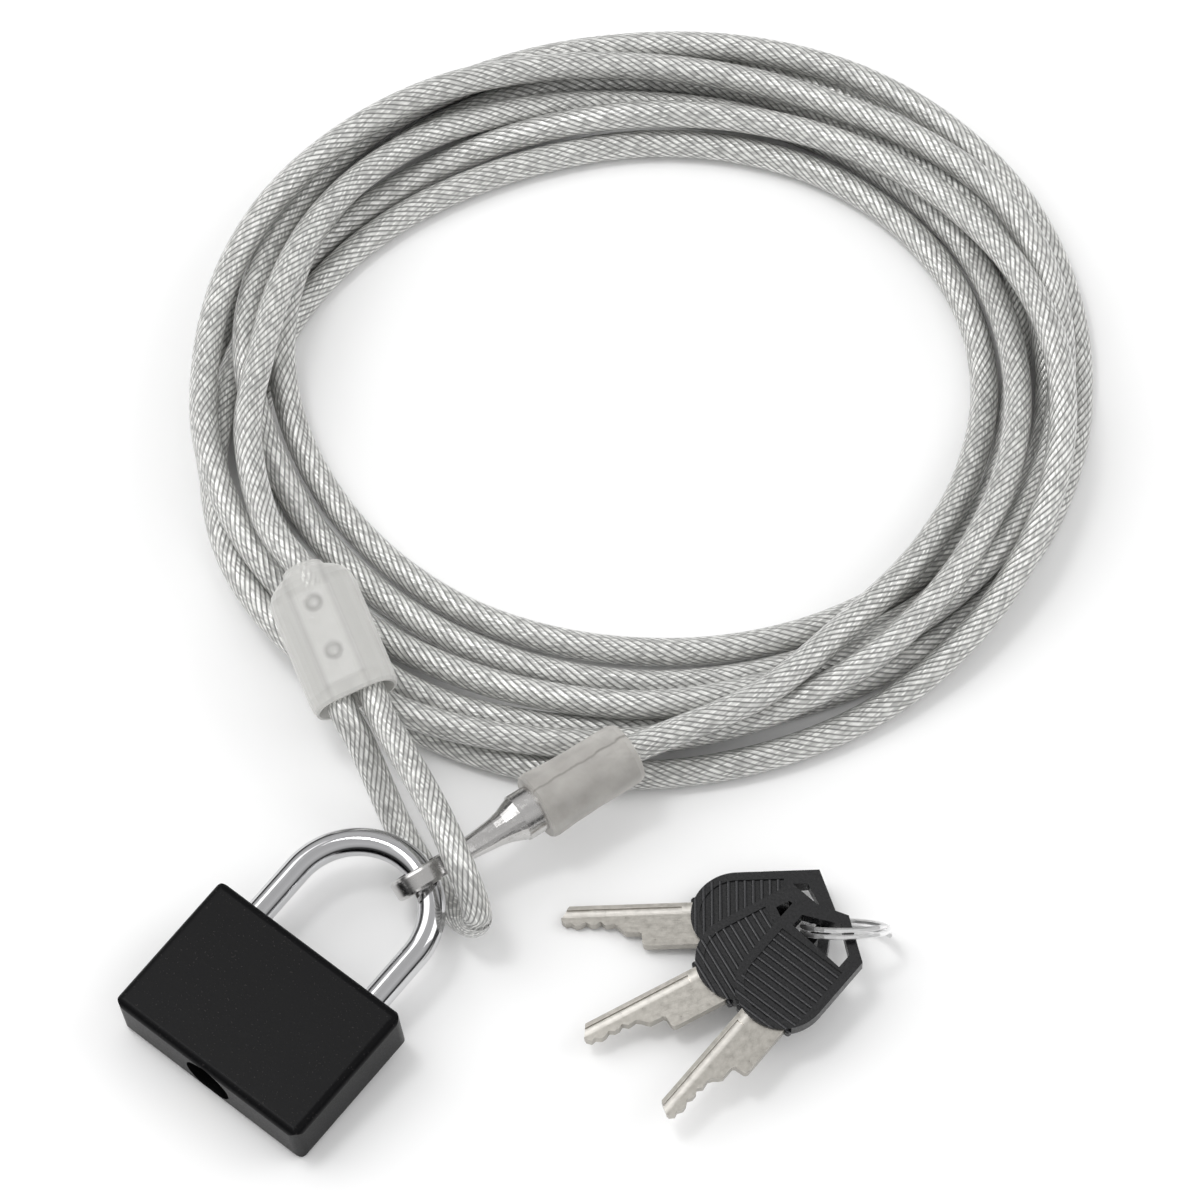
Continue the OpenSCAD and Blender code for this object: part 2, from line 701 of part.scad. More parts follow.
module split_ring() {
    steps = 24;
    n = round(ring_turns * steps);
    r = ring_d / 2 - ring_wire / 2;
    points = [for (i = [0:n])
        [r * cos(360 * i / steps), r * sin(360 * i / steps),
            1.25 * ring_wire * (i / steps - ring_turns / 2)]];
    color(chrome_steel) translate(ring_at) rotate([0, 0, ring_turn]) rotate([-ring_lean, 0, 0])
        tube(points, ring_wire / 2, 6);
}

lock_body();
shackle();
heel_stop_pin();
heel_spring();
latch_bolt();
latch_spring();
cylinder_plug();
plug_stop_pin();
key_pins();
driver_pins();
pin_springs();
chamber_caps();
cable_coil();
cable_loop();
loop_ferrule();
loop_sleeve();
eye_terminal();
eye_sleeve();
key_blade(0);  // key_1_blade
key_head(0);  // key_1_head
key_blade(1);  // key_2_blade
key_head(1);  // key_2_head
key_blade(2);  // key_3_blade
key_head(2);  // key_3_head
split_ring();
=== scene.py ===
import bpy
import math
import numpy as np
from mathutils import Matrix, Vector


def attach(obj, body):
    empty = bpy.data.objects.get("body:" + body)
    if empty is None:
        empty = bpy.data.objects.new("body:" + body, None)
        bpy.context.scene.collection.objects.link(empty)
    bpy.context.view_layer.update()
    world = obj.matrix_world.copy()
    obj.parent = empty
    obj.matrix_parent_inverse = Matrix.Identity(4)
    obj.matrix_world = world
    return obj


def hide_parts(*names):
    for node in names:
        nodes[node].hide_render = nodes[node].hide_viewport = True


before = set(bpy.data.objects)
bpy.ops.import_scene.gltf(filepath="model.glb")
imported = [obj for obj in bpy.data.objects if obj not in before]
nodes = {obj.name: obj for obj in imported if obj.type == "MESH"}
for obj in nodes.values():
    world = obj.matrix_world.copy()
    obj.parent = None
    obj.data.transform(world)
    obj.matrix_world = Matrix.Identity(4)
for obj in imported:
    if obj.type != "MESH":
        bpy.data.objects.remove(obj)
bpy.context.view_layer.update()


# ---------------------------------------------------------------------------
# Camera: a long lens high over the front of the padlock, looking down on the
# table so that the whole coil, the padlock and the keys fill a square frame.
camera_data = bpy.data.cameras.new("camera")
camera_data.lens = 186.45
camera_data.sensor_width = 36.0
camera_data.clip_end = 20.0
camera = bpy.data.objects.new("camera", camera_data)
bpy.context.scene.collection.objects.link(camera)
camera.location = (0.3266, -0.3556, 0.9305)
aim = Vector((-0.0221, 0.0674, 0.0)) - camera.location
camera.rotation_euler = aim.to_track_quat("-Z", "Y").to_euler()
bpy.context.scene.camera = camera


# All that lies on a route is in millimetres. The passes run round one oval, turned on
# the table, with 24 stations to a turn from 30 degrees short of its left end.
CABLE_D = 5
CABLE_R = CABLE_D / 2
COIL_W, COIL_H = 142, 129
COIL_AT = (-42.5, 103.7)
COIL_TURN = math.radians(39.5)
FIRST_ANGLE, PER_TURN = -30, 24
COIL_STEP, NOOSE_STEP = 1.0, 0.7

# Settling: the pitch the passes are pushed apart to, the steps, the share of the lack
# made good in one step, and the evening, which has died away after 0.7 of the steps.
PASS_PITCH = 5.4
SETTLE_STEPS = 120
PUSH = 0.45
EVENING, EVENED_FOR = 0.5, 0.7

# The loop sleeve's mouth and how it lies. The ferrule starts and ends this far in from
# the mouth, and each leg of the folded end lies this far off the sleeve's middle.
SLEEVE_MOUTH = np.array([-35.6, 19.1, 15.4])
SLEEVE_YAW, SLEEVE_RISE, SLEEVE_ROLL = np.radians([151.5, 6.0, -15.0])
FERRULE_FRONT, FERRULE_BACK = 3.5, 21
LEG_OFF = 2.8

# The eye hangs on the shackle's arch, 68 degrees up from the heel leg. The arch is given
# in the padlock's own frame, which is tilted on its lower back edge. The crimped tube
# ends 36 mm from the middle of the eye's hole.
BODY_AT = (-11.5, -46.8)
BODY_TILT = math.radians(6.5)
BODY_EDGE_R = 1.4
ARCH_Y, ARCH_Z, ARCH_R = 38, 5.5, 12.8
EYE_ARCH_ANGLE = math.radians(68)
EYE_YAW, EYE_RISE = np.radians([73.0, 3.0])
TUBE_END = 36

# How far out of the oval the passes are laid, and how high over the table, every 30
# degrees. The folded end runs from one side of the ferrule round to the other.
LANES = np.array([
    5, -3.8, -4.6, -2, -2.5, -3, -3.5, -4.5, -1.5, 4.5, 8, 13.5,
    11, 1.5, -3.5, -6, -8, -5, -2.5, 2, 5.8, 9.5, 12, 11.5,
    7.8, 5.2, 6.3, 7.5, 8, 7.5, 3.5, -4.5, -6, -9, -11.5, -12,
    -11.5, -7.6, -3, 2, 3, 2, 0.5, 1, -0.5, -3.5, -5, -6,
    -5.5, -1.8, 1.5, 4, 6, 8.5, 8, 4.9, 4, 2.5, 2.5, 5.5,
    7.5, 5, 4, 2, 1, 0, 1.5, 1.6, 1.5, 0.5, 2.5, 1,
    1, -3, -8, -11, -10, -8.5, -8.5, -9.2, -8.4, -2, 12.5])
RISES = np.array([
    13, 12.3, 10.5, 4, 0, 0, 0, 5, 8, 6.5, 2.5, 5,
    6, 3.8, 0, 0, 4.5, 4.5, 8, 10.5, 5.5, 0, 0, 0,
    0, 0, 0, 0, 0, 0, 0, 0, 0, 0, 0, 0,
    0, 3.5, 5.5, 0, 0, 0, 5.5, 0, 0, 0, 0, 0,
    0, 7.8, 5, 4.5, 5, 5, 3, 0, 0, 0, 0, 0,
    9, 7.2, 8.2, 9, 5, 5, 8, 5.3, 4, 4, 4.5, 1,
    0, 0, 0, 0, 0, 0, 0, 0, 4, 9, 10.5])
NOOSE = np.array([
    [-31.5, 14.8, 12.2], [-27.1, 13.1, 9], [-22.7, 11.3, 5.8], [-18.5, 9.6, 3.4],
    [-14, 7.8, 2.5], [-9.5, 6.2, 2.5], [-5, 4.8, 2.5], [-1.3, 3.6, 3],
    [2.3, 2.6, 5.1], [4.7, 2, 8.4], [5.3, 2, 12], [4.1, 2.5, 15.4],
    [1.5, 3.6, 18.1], [-2.1, 5.4, 19.5], [-6.1, 7.6, 19.7], [-10.3, 9.8, 19.1],
    [-14.7, 12, 18.2], [-19.5, 14.3, 17.2], [-24.5, 16.6, 16.3], [-29.3, 18.8, 15.7]])


def curve_through(points, places):
    """Catmull-Rom: half of (2b + (c-a)f + (2a-5b+4c-d)f^2 + (3b-a-3c+d)f^3)."""
    points = np.asarray(points, float)
    last = len(points) - 1
    i = np.clip(np.floor(places).astype(int), 0, last - 1)
    f = (places - i)[:, None] if points.ndim > 1 else places - i
    a, b = points[np.maximum(i - 1, 0)], points[i]
    c, d = points[i + 1], points[np.minimum(i + 2, last)]
    return 0.5 * (2 * b + (c - a) * f + (2 * a - 5 * b + 4 * c - d) * f ** 2
                  + (3 * b - a - 3 * c + d) * f ** 3)


def settled(laid):
    """Each pass is pushed off its neighbours by a share of what they lack of a pitch,
    and its shift from where it was laid is evened out, less and less with each step."""
    p = laid.copy()
    for step in range(SETTLE_STEPS):
        moved = p.copy()
        for k in [side * turns * PER_TURN for turns in range(1, 7) for side in (-1, 1)]:
            near = p[-k:] if k < 0 else p[:-k]
            rows = slice(0, len(p) + k) if k < 0 else slice(k, len(p))
            off = p[rows] - near
            gap = np.maximum(np.linalg.norm(off, axis=1), 0.01)[:, None]
            moved[rows] += off / gap * np.maximum(PASS_PITCH - gap, 0) * PUSH
        shift = p - laid
        ease = EVENING * max(0.0, 1 - step / (SETTLE_STEPS * EVENED_FOR))
        moved[1:-1] += ease * ((shift[:-2] + shift[2:]) / 2 - shift[1:-1])
        moved[:, 1] = np.maximum(moved[:, 1], CABLE_R)
        p = moved
    return p


def on_sleeve(x, y=0.0, z=0.0):
    """A point of the loop sleeve's own frame: rolled, raised, then turned."""
    y1 = y * math.cos(SLEEVE_ROLL) - z * math.sin(SLEEVE_ROLL)
    z1 = y * math.sin(SLEEVE_ROLL) + z * math.cos(SLEEVE_ROLL)
    x2 = x * math.cos(SLEEVE_RISE) - z1 * math.sin(SLEEVE_RISE)
    z2 = x * math.sin(SLEEVE_RISE) + z1 * math.cos(SLEEVE_RISE)
    return SLEEVE_MOUTH + [x2 * math.cos(SLEEVE_YAW) - y1 * math.sin(SLEEVE_YAW),
                           x2 * math.sin(SLEEVE_YAW) + y1 * math.cos(SLEEVE_YAW), z2]


def along_eye(x):
    """A point of the eye terminal's axis, x mm from the middle of its hole."""
    y = ARCH_Y + ARCH_R * math.sin(EYE_ARCH_ANGLE)
    lift = BODY_EDGE_R * (1 - math.sin(BODY_TILT) - math.cos(BODY_TILT))
    hole = [BODY_AT[0] + ARCH_R * math.cos(EYE_ARCH_ANGLE),
            BODY_AT[1] + y * math.cos(BODY_TILT) - ARCH_Z * math.sin(BODY_TILT),
            lift + y * math.sin(BODY_TILT) + ARCH_Z * math.cos(BODY_TILT)]
    return np.array(hole) + x * np.array([
        math.cos(EYE_RISE) * math.cos(EYE_YAW), math.cos(EYE_RISE) * math.sin(EYE_YAW),
        math.sin(EYE_RISE)])


def coil_route():
    """The settled passes round the oval (-w/2 cos, h/2 sin), each station moved out along
    the oval's normal, turned onto the table, and joined to the ferrule and the crimp."""
    halves = np.arange(2 * len(LANES) - 1) / 2
    laid = np.stack([curve_through(LANES, halves),
                     np.maximum(curve_through(RISES, halves), 0) + CABLE_R], 1)
    p = settled(laid)
    angle = np.radians(FIRST_ANGLE + 360 / PER_TURN * np.arange(len(p)))
    out = np.stack([-COIL_H * np.cos(angle), COIL_W * np.sin(angle)], 1)
    out /= np.linalg.norm(out, axis=1)[:, None]
    u = -COIL_W / 2 * np.cos(angle) + p[:, 0] * out[:, 0]
    v = COIL_H / 2 * np.sin(angle) + p[:, 0] * out[:, 1]
    table = np.stack([COIL_AT[0] + u * math.cos(COIL_TURN) - v * math.sin(COIL_TURN),
                      COIL_AT[1] + u * math.sin(COIL_TURN) + v * math.cos(COIL_TURN),
                      p[:, 1]], 1)
    return np.concatenate([[on_sleeve(FERRULE_BACK), on_sleeve(FERRULE_BACK + CABLE_D)], table,
                           [along_eye(TUBE_END + CABLE_D), along_eye(TUBE_END)]])


def even_path(points, step):
    """Points a step apart along the smooth curve through the given ones, none of them
    under the table, and how far along it each lies."""
    samples = 40 * len(points)
    dense = curve_through(points, np.linspace(0, len(points) - 1, samples))
    run = np.concatenate([[0], np.cumsum(np.linalg.norm(np.diff(dense, axis=0), axis=1))])
    want = np.linspace(0, run[-1], int(round(run[-1] / step)) + 1)
    path = np.stack([np.interp(want, run, dense[:, k]) for k in range(3)], 1)
    path[:, 2] = np.maximum(path[:, 2], CABLE_R)
    return path, want


def grid_mesh(name, points, uv):
    """Mesh of a grid of points, rows along the piece and columns round it, with the
    round closed and each end filled. uv holds one pair for each point."""
    rows, cols = points.shape[:2]
    index = np.arange(rows * cols).reshape(rows, cols)
    right = np.roll(index, -1, axis=1)
    quads = np.stack([index[:-1], right[:-1], right[1:], index[1:]], -1).reshape(-1, 4)
    faces = [tuple(int(k) for k in q) for q in quads]
    faces += [tuple(int(k) for k in index[0][::-1]), tuple(int(k) for k in index[-1])]
    mesh = bpy.data.meshes.new(name)
    mesh.from_pydata([tuple(p) for p in points.reshape(-1, 3)], [], faces)
    where = np.array([loop.vertex_index for loop in mesh.loops])
    corner_uv = uv.reshape(-1, 2)[where]
    # The last column's faces end on the first column, where u is one and not nought.
    closing = np.zeros(len(where), bool)
    closing[:quads.size] = np.tile(np.repeat(np.arange(cols) == cols - 1, 4), rows - 1)
    corner_uv[closing & (where % cols == 0), 0] = 1.0
    layer = mesh.uv_layers.new(name="wrap")
    layer.data.foreach_set("uv", corner_uv.ravel())
    mesh.polygons.foreach_set("use_smooth", np.ones(len(mesh.polygons), bool))
    mesh.update()
    piece = bpy.data.objects.new(name, mesh)
    bpy.context.scene.collection.objects.link(piece)
    return piece


def round_cable(name, path, run, sides=16):
    """Tube whose rings, r (cos a side + sin a up) off the path, follow it without
    twisting. Its uv is the share of the way round and the metres along."""
    way = np.gradient(path, axis=0)
    way /= np.linalg.norm(way, axis=1)[:, None]
    side = np.cross(way, [0, 0, 1])
    side /= np.linalg.norm(side, axis=1)[:, None]
    up = np.cross(side, way)
    angle = 2 * np.pi * np.arange(sides) / sides
    ring = (np.cos(angle)[None, :, None] * side[:, None]
            + np.sin(angle)[None, :, None] * up[:, None])
    points = (path[:, None] + CABLE_R * ring) / 1000
    uv = np.stack(np.broadcast_arrays(angle[None, :] / (2 * np.pi), run[:, None] / 1000), -1)
    return grid_mesh(name, points, uv)


coil_path, coil_run = even_path(coil_route(), COIL_STEP)
outside = FERRULE_FRONT - CABLE_D
first_leg = [on_sleeve(FERRULE_FRONT, LEG_OFF), on_sleeve(outside, LEG_OFF)]
last_leg = [on_sleeve(outside, -LEG_OFF), on_sleeve(FERRULE_FRONT, -LEG_OFF)]
noose_path, noose_run = even_path(np.concatenate([first_leg, NOOSE, last_leg]), NOOSE_STEP)
cable = round_cable("long_cable", coil_path, coil_run)
noose = round_cable("noose_cable", noose_path, noose_run)

for piece, node in ((cable, "cable_coil"), (noose, "cable_loop")):
    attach(piece, "cable_set")
    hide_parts(node)


def new_material(name, colour, rough, metallic=0.0):
    """Principled material; returns it with its nodes, its links and its shader."""
    material = bpy.data.materials.new(name)
    material.use_nodes = True
    tree = material.node_tree
    shader = tree.nodes["Principled BSDF"]
    shader.inputs["Base Color"].default_value = (*colour, 1)
    shader.inputs["Roughness"].default_value = rough
    shader.inputs["Metallic"].default_value = metallic
    return material, tree.nodes, tree.links, shader


def math_node(n, l, kind, *values):
    """Math node of that kind with each value a number or a socket."""
    made = n.new("ShaderNodeMath")
    made.operation = kind
    for socket, value in zip(made.inputs, values):
        if isinstance(value, (int, float)):
            socket.default_value = value
        else:
            l.new(value, socket)
    return made.outputs[0]


def split(n, l, vector):
    """The three parts of a vector."""
    parts = n.new("ShaderNodeSeparateXYZ")
    l.new(vector, parts.inputs[0])
    return parts.outputs


def grey_ramp(n, l, value, stops, blue=1.0):
    """Greys between stops of place and grey, with a share of the grey in the blue."""
    ramp = n.new("ShaderNodeValToRGB")
    while len(ramp.color_ramp.elements) < len(stops):
        ramp.color_ramp.elements.new(0.5)
    for stop, (place, grey) in zip(ramp.color_ramp.elements, stops):
        stop.position = place
        stop.color = (grey, grey, blue * grey, 1)
    l.new(value, ramp.inputs[0])
    return ramp.outputs[0]


def bump_from(n, l, height, shader, distance, strength=1.0):
    """Raises the surface by a height value times the distance in metres."""
    bump = n.new("ShaderNodeBump")
    bump.inputs["Strength"].default_value = strength
    bump.inputs["Distance"].default_value = distance
    l.new(height, bump.inputs["Height"])
    l.new(bump.outputs[0], shader.inputs["Normal"])


def ridge(n, l, value):
    """Half-round ridge sqrt(1 - s^2), where s runs from -1 to 1 over each whole step."""
    swing = math_node(n, l, "MULTIPLY_ADD", math_node(n, l, "FRACT", value), 2.0, -1.0)
    rest = math_node(n, l, "SUBTRACT", 1.0, math_node(n, l, "MULTIPLY", swing, swing))
    return math_node(n, l, "SQRT", rest)


# Strands and wires round the rope, the metres along it in which each makes one turn, and
# the part of a wire by which the wires are shifted from one strand to the next.
STRANDS, STRAND_LAY = 16.0, 0.028
WIRES, WIRE_LAY = 50.0, 0.06
WIRE_SHIFT = 0.37


def rope_material():
    """Strands laid round the rope show through a clear jacket. A strand is a ridge in
    strands (u + v / lay), and the wires across it are ridges in wires (u - v / lay). The
    two heights are multiplied into the bump. Light is also painted into the colour:
    painted highlights on the crowns, painted shading in the valleys between strands,
    and each wire a painted glint as strong as its own random number."""
    material, n, l, shader = new_material("wire_rope", (0.6, 0.6, 0.57), 0.3, 0.4)
    wrap = n.new("ShaderNodeUVMap")
    wrap.uv_map = "wrap"
    parts = split(n, l, wrap.outputs[0])
    u, v = parts[0], parts[1]
    laid = math_node(n, l, "ADD", u, math_node(n, l, "DIVIDE", v, STRAND_LAY))
    across = math_node(n, l, "MULTIPLY", laid, STRANDS)
    strand = math_node(n, l, "FLOOR", across)
    leant = math_node(n, l, "SUBTRACT", u, math_node(n, l, "DIVIDE", v, WIRE_LAY))
    shift = math_node(n, l, "MULTIPLY", strand, WIRE_SHIFT)
    wires = math_node(n, l, "MULTIPLY_ADD", leant, WIRES, shift)
    cell = n.new("ShaderNodeCombineXYZ")
    l.new(strand, cell.inputs[0])
    l.new(math_node(n, l, "FLOOR", wires), cell.inputs[1])
    glint_lot = n.new("ShaderNodeTexWhiteNoise")
    glint_lot.noise_dimensions = "3D"
    l.new(cell.outputs[0], glint_lot.inputs["Vector"])
    wire_crown = math_node(n, l, "MULTIPLY_ADD", ridge(n, l, wires), 0.25, 0.75)
    strand_crown = ridge(n, l, across)
    height = math_node(n, l, "MULTIPLY", strand_crown, wire_crown)
    # Painted glints: each wire's random number sets how light that wire is painted.
    share = math_node(n, l, "MULTIPLY_ADD", glint_lot.outputs[0], 0.6, 0.4)
    # Painted highlight and shade: the colour is lighter on the strand crowns and darker in the
    # valleys between strands.
    crown_light_valley_shade = math_node(n, l, "MULTIPLY", height, math_node(n, l, "SQRT", strand_crown))
    painted_glint_tone = math_node(n, l, "MULTIPLY", crown_light_valley_shade, share)
    painted_light_greys = grey_ramp(n, l, painted_glint_tone, ((0.05, 0.2), (0.35, 0.46), (0.65, 0.74), (0.9, 1.0)), 0.97)
    l.new(painted_light_greys, shader.inputs["Base Color"])
    bump_from(n, l, height, shader, 0.00025, strength=0.7)
    shader.inputs["Coat Weight"].default_value = 0.6
    shader.inputs["Coat Roughness"].default_value = 0.15
    shader.inputs["Coat IOR"].default_value = 1.45
    return material


wire_rope = rope_material()
for piece in (cable, noose):
    piece.data.materials.append(wire_rope)


# ---------------------------------------------------------------------------
# Padlock body: a die-cast case under black satin lacquer, with a very fine
# orange peel in the coat and a few paler specks of dust in it.
def dress(material, *names):
    """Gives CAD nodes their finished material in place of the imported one."""
    for name in names:
        nodes[name].data.materials.clear()
        nodes[name].data.materials.append(material)


def own_coordinates(n):
    """A place on the object in its own coordinates."""
    return n.new("ShaderNodeTexCoord").outputs["Object"]


def stretched(n, l, place, scale):
    """The place scaled along each of its three axes."""
    mapping = n.new("ShaderNodeMapping")
    mapping.inputs["Scale"].default_value = scale
    l.new(place, mapping.inputs[0])
    return mapping.outputs[0]


def noise(n, l, place, scale, **settings):
    """Noise over the place at that scale, with any other inputs of its node by name."""
    made = n.new("ShaderNodeTexNoise")
    made.inputs["Scale"].default_value = scale
    for name, value in settings.items():
        made.inputs[name].default_value = value
    l.new(place, made.inputs["Vector"])
    return made.outputs[0]


def spread(n, l, value, low, high, socket):
    """Maps a noise value onto a narrow range and feeds it to a socket."""
    fit = n.new("ShaderNodeMapRange")
    fit.inputs["From Min"].default_value = 0.3
    fit.inputs["From Max"].default_value = 0.7
    fit.inputs["To Min"].default_value = low
    fit.inputs["To Max"].default_value = high
    l.new(value, fit.inputs[0])
    l.new(fit.outputs[0], socket)


def tint(n, l, factor, first, second, socket):
    """Mixes two colours by a factor and feeds the result to a socket."""
    mix = n.new("ShaderNodeMix")
    mix.data_type = "RGBA"
    mix.inputs["A"].default_value = (*first, 1)
    mix.inputs["B"].default_value = (*second, 1)
    l.new(factor, mix.inputs["Factor"])
    l.new(mix.outputs["Result"], socket)


def grain(n, l, shader, scale, distance, low, high, stretch=None):
    """Fine noise in the piece's own coordinates, as a bump of that distance in metres and
    as roughness from low to high."""
    place = own_coordinates(n)
    if stretch:
        place = stretched(n, l, place, stretch)
    value = noise(n, l, place, scale, Detail=3.0)
    bump_from(n, l, value, shader, distance, strength=0.6)
    spread(n, l, value, low, high, shader.inputs["Roughness"])


lacquer, n, l, shader = new_material("black_satin_lacquer", (0.004, 0.004, 0.0045), 0.45)
shader.inputs["Specular IOR Level"].default_value = 0.12
grain(n, l, shader, scale=2600, distance=0.00002, low=0.32, high=0.42)
dust = noise(n, l, own_coordinates(n), 2600)
tint(n, l, math_node(n, l, "GREATER_THAN", dust, 0.68), (0.002, 0.002, 0.0025),
     (0.022, 0.02, 0.02), shader.inputs["Base Color"])
dress(lacquer, "lock_body")


# ---------------------------------------------------------------------------
# Shackle: a bent steel rod under bright chrome, with a faint polishing haze.
# Its two legs go down into the padlock body.
def metal(name, colour, rough, **grained):
    """Bare or plated metal of that colour with a fine grain."""
    material, n, l, shader = new_material(name, colour, rough, 1.0)
    grain(n, l, shader, **grained)
    return material


chrome = metal("bright_chrome", (0.62, 0.62, 0.63), 0.1,
               scale=900, distance=0.000006, low=0.05, high=0.12)
dress(chrome, "shackle")


# ---------------------------------------------------------------------------
# Eye terminal: a flat eye and the crimped tube behind it, under a satin plating
# that is duller than the shackle's.
plated = metal("satin_plating", (0.62, 0.61, 0.6), 0.2,
               scale=1500, distance=0.00002, low=0.16, high=0.3)
dress(plated, "eye_terminal")


# ---------------------------------------------------------------------------
# Split ring: bright wire that runs through the slots of the three key heads. It has
# the palest colour and the finest grain of all the metals.
wire = metal("bright_ring_wire", (0.95, 0.95, 0.95), 0.4,
             scale=3000, distance=0.000002, low=0.34, high=0.44)
dress(wire, "split_ring")


# ---------------------------------------------------------------------------
# Lock cylinder and the working pieces inside the body: machined brass and
# plain spring steel, seen only in the keyway and when the body is off.
brass = metal("machined_brass", (0.62, 0.46, 0.2), 0.32,
              scale=1200, distance=0.00001, low=0.25, high=0.4, stretch=(1, 0.1, 1))
dress(brass, "latch_bolt", "cylinder_plug", "key_pins", "driver_pins", "chamber_caps")

steel = metal("plain_spring_steel", (0.5, 0.5, 0.51), 0.34,
              scale=2000, distance=0.00001, low=0.28, high=0.42)
dress(steel, "heel_stop_pin", "heel_spring", "latch_spring", "plug_stop_pin", "pin_springs",
      "loop_ferrule")


# ---------------------------------------------------------------------------
# Sleeves: frosted soft plastic shrunk over the two crimps. Light goes through
# them, and on the loop sleeve the ferrule underneath is painted on as a soft grey shade.
def own_frame(n, l, place_mm, turn):
    """Coordinates in a piece's own frame, from where it lies and how it is turned."""
    frame_of = n.new("ShaderNodeMapping")
    frame_of.vector_type = "TEXTURE"
    frame_of.inputs["Location"].default_value = [float(v) / 1000 for v in place_mm]
    frame_of.inputs["Rotation"].default_value = [float(v) for v in turn]
    l.new(own_coordinates(n), frame_of.inputs[0])
    return frame_of.outputs[0]


def band(n, l, value, middle, half):
    """One on the middle value, falling evenly to nothing at half on either side."""
    off = math_node(n, l, "ABSOLUTE", math_node(n, l, "SUBTRACT", value, middle))
    share = math_node(n, l, "DIVIDE", off, half)
    return math_node(n, l, "MAXIMUM", math_node(n, l, "SUBTRACT", 1.0, share), 0.0)


def frosted_plastic(name, place_mm, turn):
    """Milky shell: clearer where it is seen square on, milkier at its edges. Returns it
    with its own axes, so that what lies under it can be painted onto it as darker tone."""
    material, n, l, shader = new_material(name, (0.9, 0.9, 0.88), 0.4)
    shader.inputs["Subsurface Weight"].default_value = 0.3
    shader.inputs["Subsurface Radius"].default_value = (0.002, 0.002, 0.002)
    grain(n, l, shader, scale=500, distance=0.00008, low=0.3, high=0.5)
    clear = n.new("ShaderNodeBsdfTransparent")
    clear.inputs[0].default_value = (0.97, 0.97, 0.96, 1)
    edge = n.new("ShaderNodeLayerWeight")
    edge.inputs["Blend"].default_value = 0.4
    milk = n.new("ShaderNodeMapRange")
    milk.inputs["To Min"].default_value = 0.45
    milk.inputs["To Max"].default_value = 0.95
    l.new(edge.outputs["Facing"], milk.inputs[0])
    veil = n.new("ShaderNodeMixShader")
    l.new(milk.outputs[0], veil.inputs[0])
    l.new(clear.outputs[0], veil.inputs[1])
    l.new(shader.outputs[0], veil.inputs[2])
    l.new(veil.outputs[0], n["Material Output"].inputs[0])
    return material, n, l, shader, split(n, l, own_frame(n, l, place_mm, turn))


# Over the ferrule, the edges of its flat and the rims of its two dimples are painted on the
# sleeve as darker shade.
FLAT_HALF = 0.0034
DIMPLES = (0.0085, 0.018)
DIMPLE_RIM = 0.0012
SOFT_EDGE = 0.0008
frosted, n, l, shader, axes = frosted_plastic(
    "frosted_sleeve", SLEEVE_MOUTH, (SLEEVE_ROLL, -SLEEVE_RISE, SLEEVE_YAW))
flat_edge_shade = band(n, l, math_node(n, l, "ABSOLUTE", axes[1]), FLAT_HALF, SOFT_EDGE)
darkening = math_node(n, l, "MULTIPLY", flat_edge_shade, 0.35)
for dimple in DIMPLES:
    off_x = math_node(n, l, "POWER", math_node(n, l, "SUBTRACT", axes[0], dimple), 2.0)
    off_y = math_node(n, l, "POWER", axes[1], 2.0)
    off = math_node(n, l, "SQRT", math_node(n, l, "ADD", off_x, off_y))
    dimple_rim_shade = math_node(n, l, "MULTIPLY", band(n, l, off, DIMPLE_RIM, SOFT_EDGE), 0.6)
    darkening = math_node(n, l, "MAXIMUM", darkening, dimple_rim_shade)
# Painted shade: the sleeve's colour is darkened along the flat's edges and round the dimple
# rims.
tint(n, l, darkening, (0.76, 0.755, 0.735), (0.42, 0.415, 0.4), shader.inputs["Base Color"])
dress(frosted, "loop_sleeve")

# Over the crimp tube, the tube's rolled seam shows as a dark uneven line.
SEAM_Y, SEAM_HALF = 0.001, 0.0005
SEAM_WANDER = 0.0016
frosted, n, l, shader, axes = frosted_plastic(
    "frosted_tube_sleeve", along_eye(0), (0.0, -EYE_RISE, EYE_YAW))
ripple = noise(n, l, own_coordinates(n), 260, Detail=6)
wander = math_node(n, l, "ADD", axes[1], math_node(n, l, "MULTIPLY", ripple, SEAM_WANDER))
seam = math_node(n, l, "MULTIPLY", band(n, l, wander, SEAM_Y, SEAM_HALF), 0.9)
darkening = math_node(n, l, "MAXIMUM", seam, math_node(n, l, "SUBTRACT", ripple, 0.25))
tint(n, l, darkening, (0.68, 0.66, 0.63), (0.26, 0.245, 0.23), shader.inputs["Base Color"])
dress(frosted, "eye_sleeve")


# ---------------------------------------------------------------------------
# Keys: stamped nickel-silver blades with fine draw lines along them, in heads
# of black moulded plastic with a raised rim and ribs.
KEY_PLACES = ((45.4, 40.5, 3.9), (47.5, 36.7, 6.95), (52.2, 36.6, 10.1))
KEY_TURNS = np.radians([(0, 4.2, 219.5), (0, 4, 247.8), (-3, 4, 270)])
GROOVE_Y, GROOVE_HALF = -0.0013, 0.0009
